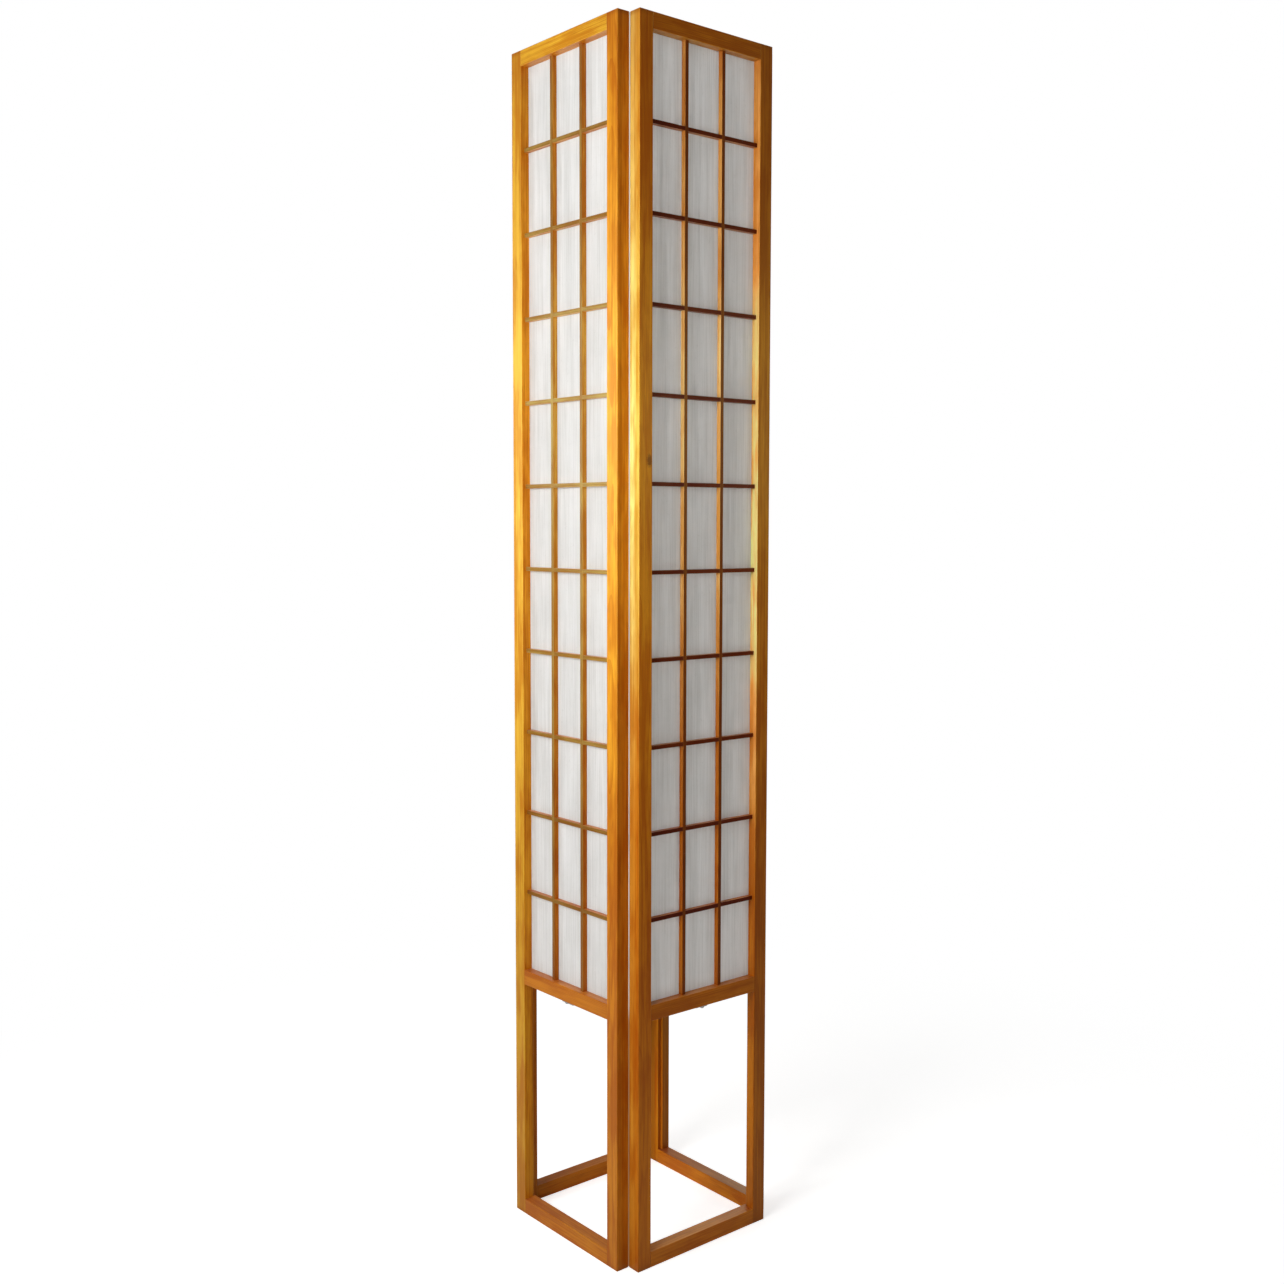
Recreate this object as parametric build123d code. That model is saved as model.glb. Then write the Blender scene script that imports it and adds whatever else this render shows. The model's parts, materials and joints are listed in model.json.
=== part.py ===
from build123d import *
import math
import os

os.makedirs("parts", exist_ok=True)

# ---------------------------------------------------------------- driving dimensions (mm)
# The lamp stands on the XY plane with its axis on Z. The front panel faces -Y, and the right,
# back and left panels are the same panel turned by 90, 180 and 270 degrees about Z.
lamp_height = 1829.0
panel_width = 260.5
panel_thickness = 21.0
corner_gap = 1.25           # from the end of a panel to the inner face of its neighbour
hinge_setback = 1.5         # from the inner face to the hinge axis, so the panels can fold either way

stile_width = 24.5
rail_height = 23.5
middle_rail_bottom = 376.5
eased_arris = 0.8           # sanded round on the long edges
end_chamfer = 0.5           # at the feet and tops of the stiles

bar_width = 6.0             # lattice bars, seen from the front
bar_depth = 8.0
bar_setback = 6.5           # from the front of the frame to the front of the lattice
upright_bars = 2
cross_bars = 10
bar_housing = 4.0           # how far the bar ends are let into the frame

rebate_width = 5.0          # rebate round the back of the shade opening, for the paper
paper_thickness = 0.4
paper_clearance = 0.3

tenon_thickness = 6.0
tenon_length = 16.0
tenon_shoulder = 4.0        # above and below the tenon
tenon_front = 5.0           # from the front of the rail to the tenon
glue_gap = 0.1

hinge_length = 38.0
seal_room = 0.2             # under the leaves, for the cloth strip that closes the corner
hinge_count = 3
hinge_inset = 80.0          # from the ends of the shade to the middle of the end hinges
leaf_width = 14.0           # from the hinge axis to the far edge of a leaf
leaf_thickness = 0.9
knuckle_radius = 1.25
knuckle_count = 5
knuckle_clearance = 0.25
pin_radius = 0.7
pin_clearance = 0.05
pin_overhang = 0.6

hinge_screw_length = 10.0
hinge_screw_point = 2.0     # length of the blunt point
hinge_screw_radius = 1.1
hinge_screw_head_radius = 2.1
hinge_screw_pitch = 22.0    # between the two screws of a leaf
hinge_screw_inset = 5.0     # from the far edge of the leaf
screw_fit = 0.03
drive_slot_width = 0.6
drive_slot_depth = 0.45

pintle_plate_width = 14.0
pintle_plate_thickness = 1.5
pintle_flange = 11.5        # length of the flange under the rail
pintle_front = 1.5          # from the front of the rail to the flange
pintle_overhang = 6.0       # plate beyond the pintle
pintle_radius = 2.0
pintle_fit = 0.08
pintle_rise = 1.2           # above the strap that it carries
rail_strap_gap = 2.0        # from the rail down to the top of the upper strap

plate_screw_setback = 5.5   # from the front of the rail
plate_screw_radius = 1.6
plate_screw_length = 14.0
plate_screw_point = 3.0
plate_screw_head_radius = 3.6
plate_screw_head_height = 3.4

strap_width = 16.0
strap_thickness = 2.0

stem_radius = 5.0
stem_bore_radius = 4.0
stem_length = 450.0
stem_fit = 0.05
stem_below_nut = 12.0
nut_across_flats = 14.0
nut_height = 5.0

holder_radius = 17.0
holder_height = 58.0
holder_neck_radius = 8.0
holder_neck_height = 7.0
holder_cup_shoulder = 14.0  # height at which the cup reaches its full width
holder_cup_seat = 17.0      # height of the floor on which the barrel stands
holder_cup_height = 24.0
holder_cup_wall = 1.2
holder_bead = 0.8           # rounded ridges under the rim of the barrel
holder_bead_pitch = 5.0
holder_socket_radius = 14.2
holder_socket_depth = 26.0

cap_radius = 13.0
cap_height = 26.0
cap_taper_height = 7.0      # insulated foot, below the thread
cap_collar_height = 3.0     # plain rim, above the thread
cap_thread_depth = 0.7
cap_thread_turns = 5
cap_nose_radius = 3.6
cap_nose_height = 1.2
bulb_radius = 30.0
bulb_glass_height = 82.0
bulb_neck_height = 3.0
bulb_wall = 1.0

# ---------------------------------------------------------------- derived places
half_outer = panel_width / 2 + corner_gap + panel_thickness
edge = panel_width / 2
opening_half = edge - stile_width
paper_depth = bar_setback + bar_depth            # front of the paper, measured from the panel's face
shade_bottom = middle_rail_bottom + rail_height
shade_top = lamp_height - rail_height
hinge_depth = panel_thickness + hinge_setback    # hinge axis, measured from the panel's face
hinge_half = half_outer - hinge_depth            # hinge axes, measured from the middle of the lamp
leaf_face = panel_thickness + seal_room          # face of the leaf that lies on the panel

upright_pitch = (2 * opening_half + bar_width) / (upright_bars + 1)
upright_places = [(i - (upright_bars - 1) / 2) * upright_pitch for i in range(upright_bars)]
cross_pitch = (shade_top - shade_bottom + bar_width) / (cross_bars + 1)
cross_heights = [shade_bottom - bar_width / 2 + cross_pitch * (i + 1) for i in range(cross_bars)]

hinge_low = middle_rail_bottom + hinge_inset
hinge_high = lamp_height - hinge_inset
hinge_heights = [
    hinge_low + (hinge_high - hinge_low) * i / (hinge_count - 1) for i in range(hinge_count)
]

upper_strap_top = middle_rail_bottom - rail_strap_gap
upper_strap_bottom = upper_strap_top - strap_thickness
lower_strap_bottom = upper_strap_bottom - strap_thickness
stem_bottom = lower_strap_bottom - nut_height - stem_below_nut
stem_top = stem_bottom + stem_length
holder_bottom = stem_top - holder_cup_seat
cap_bottom = holder_bottom + holder_height - holder_socket_depth
glass_bottom = cap_bottom + cap_height


# ---------------------------------------------------------------- helpers
def depth(d):
    """Y of a point that lies d behind the outer face of the front panel."""
    return d - half_outer


def block(u0, u1, d0, d1, z0, z1):
    """Box between two widths, two depths and two heights of the front panel."""
    size = Box(abs(u1 - u0), abs(d1 - d0), abs(z1 - z0))
    return Pos((u0 + u1) / 2, depth((d0 + d1) / 2), (z0 + z1) / 2) * size


def upright_rod(u, d, z0, z1, radius):
    """Round bar along Z."""
    return Pos(u, depth(d), (z0 + z1) / 2) * Cylinder(radius, z1 - z0)


def turned_face(face, z=0.0):
    """Solid of revolution about Z from a half section drawn in radius and height."""
    return Pos(0, 0, z) * revolve(Plane.XZ * face, Axis.Z, 360)


def turned(points, z=0.0):
    """Solid of revolution about Z from a closed outline of (radius, height) points."""
    return turned_face(make_face(Polyline(*points, close=True)), z)


def spin(shape, quarter_turns):
    return Rot(0, 0, 90 * quarter_turns) * shape


def save(name, solids):
    group = solids if isinstance(solids, list) else [solids]
    shape = group[0] if len(group) == 1 else Compound(children=group)
    export_step(shape, f"parts/{name}.step")


def face_edges(stick, direction):
    """Long edges that lie on the outer or the inner face of the front panel."""
    faces = (depth(0), depth(panel_thickness))
    long_edges = stick.edges().filter_by(direction)
    return [e for e in long_edges if min(abs(e.center().Y - y) for y in faces) < 0.01]


# ---------------------------------------------------------------- one panel's frame
def stile(side):
    """Full-height stile. Its inner back edge is rebated for the paper over its whole length."""
    outer = side * edge
    inner = side * opening_half
    rebate = side * (opening_half + rebate_width)
    outline = Polyline(
        (outer, depth(0)),
        (inner, depth(0)),
        (inner, depth(paper_depth)),
        (rebate, depth(paper_depth)),
        (rebate, depth(panel_thickness)),
        (outer, depth(panel_thickness)),
        close=True,
    )
    body = extrude(make_face(outline), amount=lamp_height, dir=(0, 0, 1))
    # The arris at the hinge stays sharp, so that the corner of the lamp closes to a narrow gap.
    hinge_arris = Vector(outer, depth(panel_thickness), lamp_height / 2)
    eased = [e for e in face_edges(body, Axis.Z) if (e.center() - hinge_arris).length > eased_arris]
    body = fillet(eased, eased_arris)
    ends = body.edges().group_by(Axis.Z)
    body = chamfer(ends[0] + ends[-1], end_chamfer)

    for z0, z1 in tenon_bands():
        body -= block(
            inner,
            inner + side * (tenon_length + glue_gap),
            tenon_front - glue_gap,
            tenon_front + tenon_thickness + glue_gap,
            z0 - glue_gap,
            z1 + glue_gap,
        )
    for z in cross_heights:
        body -= block(
            inner,
            inner + side * bar_housing,
            bar_setback,
            paper_depth,
            z - bar_width / 2,
            z + bar_width / 2,
        )
    for z in hinge_screw_heights():
        body -= hinge_screw_hole(side, z)
    return body


def tenon_bands():
    """Lower and upper height of the three rail tenons."""
    bands = []
    for low in (0.0, middle_rail_bottom, lamp_height - rail_height):
        bands.append((low + tenon_shoulder, low + rail_height - tenon_shoulder))
    return bands


def rail(low, rebated_edge):
    """Rail with long-and-short shoulders: its back half reaches into the rebates of the stiles.

    rebated_edge is 1 for a rebate along the top edge, -1 along the bottom edge, 0 for none.
    """
    high = low + rail_height
    length = opening_half + tenon_length
    body = block(-length, length, 0, panel_thickness, low, high)
    face = high if rebated_edge > 0 else low
    if rebated_edge != 0:
        sunk = face - rebated_edge * rebate_width
        body -= block(-length, length, paper_depth, panel_thickness, sunk, face)
    body = fillet(face_edges(body, Axis.X), eased_arris)

    tenon_back = tenon_front + tenon_thickness
    for side in (-1, 1):
        shoulder = side * opening_half
        tip = side * length
        waste = block(shoulder, tip, 0, panel_thickness, low, high)
        waste -= block(shoulder, tip, tenon_front, tenon_back, low + tenon_shoulder, high - tenon_shoulder)
        waste -= block(shoulder, shoulder + side * rebate_width, paper_depth, panel_thickness, low, high)
        body -= waste

    if rebated_edge != 0:
        sunk = face - rebated_edge * bar_housing
        for u in upright_places:
            body -= block(u - bar_width / 2, u + bar_width / 2, bar_setback, paper_depth, sunk, face)
    return body


# ---------------------------------------------------------------- lattice and paper
def upright_bar(u):
    """Upright lattice bar, half-lapped from behind at each cross bar."""
    low = shade_bottom - bar_housing
    high = shade_top + bar_housing
    body = block(u - bar_width / 2, u + bar_width / 2, bar_setback, paper_depth, low, high)
    for z in cross_heights:
        body -= block(
            u - bar_width / 2,
            u + bar_width / 2,
            bar_setback + bar_depth / 2,
            paper_depth,
            z - bar_width / 2,
            z + bar_width / 2,
        )
    return body


def cross_bar(z):
    """Cross bar, half-lapped from the front at each upright bar, its ends housed in the stiles."""
    reach = opening_half + bar_housing
    body = block(-reach, reach, bar_setback, paper_depth, z - bar_width / 2, z + bar_width / 2)
    for u in upright_places:
        body -= block(
            u - bar_width / 2,
            u + bar_width / 2,
            bar_setback,
            bar_setback + bar_depth / 2,
            z - bar_width / 2,
            z + bar_width / 2,
        )
    return body


def paper_sheet():
    margin = rebate_width - paper_clearance
    return block(
        -opening_half - margin,
        opening_half + margin,
        paper_depth,
        paper_depth + paper_thickness,
        shade_bottom - margin,
        shade_top + margin,
    )


# ---------------------------------------------------------------- corner hinges
def hinge_screw_heights():
    half = hinge_screw_pitch / 2
    return [z + s * half for z in hinge_heights for s in (-1, 1)]


def hinge_screw_place(side, z):
    u = side * (hinge_half - leaf_width + hinge_screw_inset)
    return Pos(u, depth(leaf_face + leaf_thickness), z) * Rot(-90, 0, 0)


def hinge_screw_outline(fit):
    """Half outline of a countersunk screw: head at height 0, point downwards into the wood."""
    cone = hinge_screw_head_radius - hinge_screw_radius
    return [
        (0, 0),
        (hinge_screw_head_radius + fit, 0),
        (hinge_screw_radius + fit, -cone),
        (hinge_screw_radius + fit, hinge_screw_point - hinge_screw_length),
        (0, -hinge_screw_length),
    ]


def hinge_screw_hole(side, z):
    return hinge_screw_place(side, z) * turned(hinge_screw_outline(screw_fit))


def hinge_screw(side, z):
    body = turned(hinge_screw_outline(0))
    slot = Box(2.2 * hinge_screw_head_radius, drive_slot_width, 2 * drive_slot_depth)
    return hinge_screw_place(side, z) * (body - slot)


def knuckle_bands(first):
    """Heights of every second knuckle of each hinge, starting with the given one."""
    pitch = hinge_length / knuckle_count
    half_gap = knuckle_clearance / 2
    bands = []
    for middle in hinge_heights:
        low = middle - hinge_length / 2
        own = [
            (low + pitch * i + half_gap, low + pitch * (i + 1) - half_gap)
            for i in range(first, knuckle_count, 2)
        ]
        bands.append((middle, own))
    return bands


def hinge_leaf(side, middle, bands):
    """Leaf on the inner face of a stile, its knuckles rolled round the pin at the corner."""
    axis = side * hinge_half
    far = side * (hinge_half - leaf_width)
    near = side * (hinge_half - knuckle_radius - knuckle_clearance)
    back = leaf_face + leaf_thickness
    low = middle - hinge_length / 2
    high = middle + hinge_length / 2
    body = block(far, near, leaf_face, back, low, high)
    for z0, z1 in bands:
        body += block(near, axis, leaf_face, back, z0, z1)
    for z0, z1 in bands:
        body += upright_rod(axis, hinge_depth, z0, z1, knuckle_radius)
    body -= upright_rod(axis, hinge_depth, low, high, pin_radius + pin_clearance)
    for s in (-1, 1):
        body -= hinge_screw_hole(side, middle + s * hinge_screw_pitch / 2)
    return body


def panel_hinge_leaves(first):
    return [hinge_leaf(side, middle, bands) for side in (-1, 1) for middle, bands in knuckle_bands(first)]


def panel_hinge_pins():
    pins = []
    for side in (-1, 1):
        for middle in hinge_heights:
            half = hinge_length / 2 + pin_overhang
            pins.append(upright_rod(side * hinge_half, hinge_depth, middle - half, middle + half, pin_radius))
    return pins


# ---------------------------------------------------------------- pintle plates and straps
def plate_screw_outline(fit):
    """Half outline of a round-head screw, its head below height 0 and its shank above."""
    shank = plate_screw_radius + fit
    dome = EllipticalCenterArc(
        (0, 0),
        plate_screw_head_radius,
        plate_screw_head_height,
        start_angle=270,
        arc_size=90,
    )
    rest = Polyline(
        (plate_screw_head_radius, 0),
        (shank, 0),
        (shank, plate_screw_length - plate_screw_point),
        (0, plate_screw_length),
        (0, -plate_screw_head_height),
    )
    return make_face([dome, rest])


def plate_screw_place():
    return Pos(0, depth(plate_screw_setback), middle_rail_bottom - pintle_plate_thickness)


def plate_screw():
    body = turned_face(plate_screw_outline(0))
    slot = Pos(0, 0, -plate_screw_head_height) * Box(
        2.2 * plate_screw_head_radius, drive_slot_width, 2 * drive_slot_depth
    )
    return plate_screw_place() * (body - slot)


def plate_screw_hole():
    return plate_screw_place() * turned_face(plate_screw_outline(screw_fit))


def pintle_plate(strap_bottom):
    """Cranked plate under the middle rail with an upright pintle, on which one strap end rests."""
    t = pintle_plate_thickness
    rail_face = middle_rail_bottom
    web = pintle_front + pintle_flange
    tip = hinge_depth + pintle_overhang
    profile = Polyline(
        (depth(pintle_front), rail_face),
        (depth(pintle_front), rail_face - t),
        (depth(web - t), rail_face - t),
        (depth(web - t), strap_bottom - t),
        (depth(tip), strap_bottom - t),
        (depth(tip), strap_bottom),
        (depth(web), strap_bottom),
        (depth(web), rail_face),
        close=True,
    )
    body = extrude(Plane.YZ * make_face(profile), amount=pintle_plate_width / 2, both=True)
    pintle_top = strap_bottom + strap_thickness + pintle_rise
    body += upright_rod(0, hinge_depth, strap_bottom, pintle_top, pintle_radius)
    return body - plate_screw_hole()


def strap(bottom):
    """Flat strap across the lamp along Y with round ends, holed for two pintles and the stem."""
    top = bottom + strap_thickness
    outline = SlotCenterToCenter(2 * hinge_half, strap_width, rotation=90)
    body = Pos(0, 0, bottom) * extrude(outline, amount=strap_thickness)
    for y in (-hinge_half, hinge_half):
        body -= Pos(0, y, (bottom + top) / 2) * Cylinder(pintle_radius + pintle_fit, 2 * strap_thickness)
    body -= Pos(0, 0, (bottom + top) / 2) * Cylinder(stem_radius + stem_fit, 2 * strap_thickness)
    return body


# ---------------------------------------------------------------- stem, lampholder and bulb
def stem_pipe():
    ring = Circle(stem_radius) - Circle(stem_bore_radius)
    return Pos(0, 0, stem_bottom) * extrude(ring, amount=stem_length)


def stem_nut(bottom):
    outline = RegularPolygon(nut_across_flats / 2, 6, major_radius=False) - Circle(stem_radius + stem_fit)
    return Pos(0, 0, bottom) * extrude(outline, amount=nut_height)


def holder_cup():
    """Neck that screws on to the stem, flaring into a cup whose rim holds the barrel."""
    inner = stem_radius + stem_fit
    outer = holder_radius + holder_cup_wall
    flare = Spline(
        (holder_neck_radius, holder_neck_height),
        (outer, holder_cup_shoulder),
        tangents=((0, 1), (0, 1)),
    )
    wall = Polyline(
        (outer, holder_cup_shoulder),
        (outer, holder_cup_height),
        (holder_radius, holder_cup_height),
        (holder_radius, holder_cup_seat),
        (inner, holder_cup_seat),
        (inner, 0),
        (holder_neck_radius, 0),
        (holder_neck_radius, holder_neck_height),
    )
    return turned_face(make_face([flare, wall]), holder_bottom)


def holder_barrel():
    """Barrel with an open screw socket, a floor for the bulb's contact and two ridges at its rim."""
    floor_z = holder_height - holder_socket_depth
    points = [
        (0, holder_cup_seat),
        (holder_radius, holder_cup_seat),
        (holder_radius, holder_height - holder_bead),
        (holder_radius - holder_bead, holder_height),
        (holder_socket_radius, holder_height),
        (holder_socket_radius, floor_z),
        (0, floor_z),
    ]
    body = turned(points, holder_bottom)
    for i in (1, 2):
        ridge_z = holder_bottom + holder_height - i * holder_bead_pitch
        body += Pos(0, 0, ridge_z) * Torus(holder_radius, holder_bead)
    return body


def bulb_cap():
    """Screw cap: contact nose, tapered foot, thread as rounded-off rings and a plain collar."""
    root = cap_radius - cap_thread_depth
    thread_top = cap_height - cap_collar_height
    pitch = (thread_top - cap_taper_height) / cap_thread_turns
    points = [
        (0, 0),
        (cap_nose_radius, 0),
        (cap_nose_radius, cap_nose_height),
        (root, cap_taper_height),
    ]
    for turn in range(cap_thread_turns):
        low = cap_taper_height + pitch * turn
        points.append((cap_radius, low + pitch / 3))
        points.append((cap_radius, low + pitch * 2 / 3))
        points.append((root, low + pitch))
    points.append((cap_radius, thread_top + cap_thread_depth))
    points.append((cap_radius, cap_height))
    points.append((0, cap_height))
    return turned(points, cap_bottom)


def bulb_form(inset):
    """Solid of the glass: straight neck, hollow curve and round crown, drawn in by inset."""
    neck = cap_radius - inset
    crown_z = bulb_glass_height - bulb_radius
    rise = crown_z - bulb_neck_height
    # The hollow curve is an arc that leaves the neck upright and meets the crown in a tangent.
    hollow = (rise**2 + cap_radius**2 - bulb_radius**2) / (2 * (bulb_radius - cap_radius))
    lean = math.degrees(math.atan2(rise, cap_radius + hollow))
    neck_arc = CenterArc((cap_radius + hollow, bulb_neck_height), hollow + inset, 180, -lean)
    crown_arc = CenterArc((0, crown_z), bulb_radius - inset, -lean, 90 + lean)
    foot = Polyline((0, crown_z + bulb_radius - inset), (0, inset), (neck, inset), (neck, bulb_neck_height))
    return turned_face(make_face([neck_arc, crown_arc, foot]), glass_bottom)


# ---------------------------------------------------------------- the four panels
panel_names = ["front", "right", "back", "left"]
for turn, panel in enumerate(panel_names):
    # Front and back leaves have the first, third and fifth knuckle; the side panels the others.
    first_knuckle = turn % 2
    # The lower strap runs from front to back, the upper one from side to side.
    strap_bottom = upper_strap_bottom if turn % 2 else lower_strap_bottom
    middle = rail(middle_rail_bottom, 1) - plate_screw_hole()

    save(f"{panel}_left_stile", spin(stile(-1), turn))
    save(f"{panel}_right_stile", spin(stile(1), turn))
    save(f"{panel}_top_rail", spin(rail(lamp_height - rail_height, -1), turn))
    save(f"{panel}_middle_rail", spin(middle, turn))
    save(f"{panel}_bottom_rail", spin(rail(0.0, 0), turn))
    save(f"{panel}_upright_bars", [spin(upright_bar(u), turn) for u in upright_places])
    save(f"{panel}_cross_bars", [spin(cross_bar(z), turn) for z in cross_heights])
    save(f"{panel}_paper_sheet", spin(paper_sheet(), turn))
    save(f"{panel}_hinge_leaves", [spin(leaf, turn) for leaf in panel_hinge_leaves(first_knuckle)])
    screws = [hinge_screw(side, z) for side in (-1, 1) for z in hinge_screw_heights()]
    save(f"{panel}_hinge_screws", [spin(screw, turn) for screw in screws])
    save(f"{panel}_pintle_plate", spin(pintle_plate(strap_bottom), turn))
    save(f"{panel}_plate_screw", spin(plate_screw(), turn))
    if turn % 2 == 0:
        save(f"{panel}_hinge_pins", [spin(pin, turn) for pin in panel_hinge_pins()])

# ---------------------------------------------------------------- the light unit
save("front_to_back_strap", strap(lower_strap_bottom))
save("side_to_side_strap", spin(strap(upper_strap_bottom), 1))
save("stem_pipe", stem_pipe())
save("stem_nuts", [stem_nut(lower_strap_bottom - nut_height), stem_nut(upper_strap_top)])
save("lampholder_cup", holder_cup())
save("lampholder_barrel", holder_barrel())
save("bulb_cap", bulb_cap())
save("bulb_glass", bulb_form(0) - bulb_form(bulb_wall))
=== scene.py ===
# %% [markdown]
# # Dressing a folding paper-shade floor lamp
# The lamp is made of lattice panels in honey-lacquered wood, hinged corner to corner, with white
# fibre paper behind the lattice and a lampholder on crossed straps inside. Its solids come from the
# CAD model at their real size and place, so nothing is fitted by eye here. This lesson gives every
# solid its finish, adds the thin cloth that closes the corners, and sets the floor, the light and
# the camera.

import json
import math

import bpy
from mathutils import Matrix, Vector

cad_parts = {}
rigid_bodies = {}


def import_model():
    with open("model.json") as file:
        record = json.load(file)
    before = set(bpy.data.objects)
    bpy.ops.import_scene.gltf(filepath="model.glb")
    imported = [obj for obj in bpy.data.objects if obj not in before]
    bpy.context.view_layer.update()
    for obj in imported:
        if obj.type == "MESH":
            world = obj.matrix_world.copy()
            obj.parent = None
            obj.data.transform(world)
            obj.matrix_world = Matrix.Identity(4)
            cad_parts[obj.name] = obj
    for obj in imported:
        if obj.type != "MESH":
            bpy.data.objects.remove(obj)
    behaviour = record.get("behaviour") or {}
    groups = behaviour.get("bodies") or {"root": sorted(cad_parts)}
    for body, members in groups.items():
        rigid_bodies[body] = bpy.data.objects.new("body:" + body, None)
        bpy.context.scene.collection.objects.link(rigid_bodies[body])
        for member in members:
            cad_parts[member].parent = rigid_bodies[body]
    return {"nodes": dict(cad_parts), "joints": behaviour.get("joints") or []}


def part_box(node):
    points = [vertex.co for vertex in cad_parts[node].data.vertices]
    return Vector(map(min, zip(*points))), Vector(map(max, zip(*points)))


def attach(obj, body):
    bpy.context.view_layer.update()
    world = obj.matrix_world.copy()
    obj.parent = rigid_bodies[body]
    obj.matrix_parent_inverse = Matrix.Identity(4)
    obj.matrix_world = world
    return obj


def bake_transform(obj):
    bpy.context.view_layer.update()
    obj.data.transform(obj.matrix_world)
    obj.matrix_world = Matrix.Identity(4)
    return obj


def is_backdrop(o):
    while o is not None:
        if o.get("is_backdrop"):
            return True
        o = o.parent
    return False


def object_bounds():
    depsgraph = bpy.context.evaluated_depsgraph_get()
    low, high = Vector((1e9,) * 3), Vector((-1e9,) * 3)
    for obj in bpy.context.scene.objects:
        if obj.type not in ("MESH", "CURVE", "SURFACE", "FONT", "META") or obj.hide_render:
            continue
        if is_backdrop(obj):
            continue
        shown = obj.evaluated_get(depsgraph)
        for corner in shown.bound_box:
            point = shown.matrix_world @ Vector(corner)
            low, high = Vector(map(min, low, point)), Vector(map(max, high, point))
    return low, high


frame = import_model()
nodes = frame["nodes"]
cad_low, cad_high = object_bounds()
scene = bpy.context.scene
panels = ["front", "right", "back", "left"]
mm = 0.001
print("lamp measures", [round(side / mm) for side in cad_high - cad_low], "mm")

# %% [markdown]
# ## The camera
# A tall lamp is looked at from standing height and from far enough away that its uprights stay
# almost parallel. A camera can be aimed with a constraint, or by writing its turn, dip and roll as
# three rotations. The rotations are used here, because they can be read back and changed one by
# one.

# %% Place the camera
camera_place = Vector((1.737, -1.4415, 1.1095))
camera_turn = math.radians(50.145)
camera_dip = math.radians(3.971)
camera_roll = math.radians(0.097)

lens = bpy.data.cameras.new("camera")
lens.sensor_width = 36.0
lens.lens = 40.21
lens.shift_x = -0.0025
lens.shift_y = -0.0146
camera = bpy.data.objects.new("camera", lens)
camera.matrix_world = (
    Matrix.Translation(camera_place)
    @ Matrix.Rotation(camera_turn, 4, "Z")
    @ Matrix.Rotation(math.pi / 2 - camera_dip, 4, "X")
    @ Matrix.Rotation(camera_roll, 4, "Z")
)
scene.collection.objects.link(camera)
scene.camera = camera
print("camera stands", round(camera_place.xy.length, 3), "m from the lamp's axis")

# %% [markdown]
# ## Short names for shader nodes
# A procedural finish is a tree of small nodes. Adding each one by hand takes several lines, so a
# few helpers add a node, set its values and join its sockets in one line. They keep the recipes
# below close to how one would say them aloud.

# %% Add and join nodes


def wire(tree, node, inputs):
    """Join a node's inputs to sockets, or set them to plain values, by name or by number."""
    for key, value in inputs.items():
        if isinstance(value, bpy.types.NodeSocket):
            tree.links.new(value, node.inputs[key])
        else:
            node.inputs[key].default_value = value


def add(tree, kind, inputs=None, **settings):
    """Add a node with its settings, and wire its inputs."""
    made = tree.nodes.new("ShaderNode" + kind)
    for key, value in settings.items():
        setattr(made, key, value)
    wire(tree, made, inputs or {})
    return made


# %% Do sums on numbers and vectors


def calc(tree, operation, first, second=0.0, clamp=False):
    """One sum on numbers, such as ADD or POWER."""
    sockets = {0: first, 1: second}
    return add(tree, "Math", sockets, operation=operation, use_clamp=clamp).outputs[0]


def stretch(tree, vector, scale):
    """A vector with each of its three parts scaled."""
    return add(tree, "VectorMath", {0: vector, 1: scale}, operation="MULTIPLY").outputs[0]


def length_of(tree, vector):
    """The length of a vector."""
    return add(tree, "VectorMath", {0: vector}, operation="LENGTH").outputs["Value"]


def part_of(tree, vector, axis):
    """One part of a vector, by the name of its axis."""
    return add(tree, "SeparateXYZ", {0: vector}).outputs[axis]


# %% Mix colours, move ranges and make noise


def mix(tree, factor, first, second, blend="MIX"):
    """Two colours mixed by a factor. A product never comes out brighter than white."""
    made = add(tree, "Mix", data_type="RGBA", blend_type=blend, clamp_result=blend == "MULTIPLY")
    wire(tree, made, {0: factor, 6: first, 7: second})
    return made.outputs[2]


def remap(tree, value, low, high, to_low=0.0, to_high=1.0):
    """A value moved smoothly from one range to another."""
    made = add(tree, "MapRange", interpolation_type="SMOOTHSTEP")
    wire(tree, made, {"Value": value, "From Min": low, "From Max": high})
    wire(tree, made, {"To Min": to_low, "To Max": to_high})
    return made.outputs["Result"]


def noise(tree, vector, scale=1.0, detail=2.0, roughness=0.5):
    """Soft noise from 0 to 1."""
    sockets = {"Vector": vector, "Scale": scale, "Detail": detail, "Roughness": roughness}
    return add(tree, "TexNoise", sockets).outputs["Fac"]


# %% Start groups and materials


def start_group(name, inputs, outputs):
    """A node group with named sockets. Returns the group, what it is given and its result."""
    group = bpy.data.node_groups.new(name, "ShaderNodeTree")
    for label, (kind, value) in inputs.items():
        socket = group.interface.new_socket(label, in_out="INPUT", socket_type="NodeSocket" + kind)
        if value is not None:
            socket.default_value = value
    for label, kind in outputs.items():
        group.interface.new_socket(label, in_out="OUTPUT", socket_type="NodeSocket" + kind)
    given = group.nodes.new("NodeGroupInput").outputs
    result = group.nodes.new("NodeGroupOutput")
    return group, given, result


def place_group(tree, group, inputs):
    """Put a group into a material with its own values."""
    return add(tree, "Group", inputs, node_tree=group).outputs


def start_material(name):
    """A material with one Principled BSDF. Returns the material, its tree and that node."""
    material = bpy.data.materials.new(name)
    material.use_nodes = True
    tree = material.node_tree
    return material, tree, tree.nodes["Principled BSDF"]


def give(node_name, material):
    """Give a CAD solid one material."""
    slots = nodes[node_name].data.materials
    slots.clear()
    slots.append(material)


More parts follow.
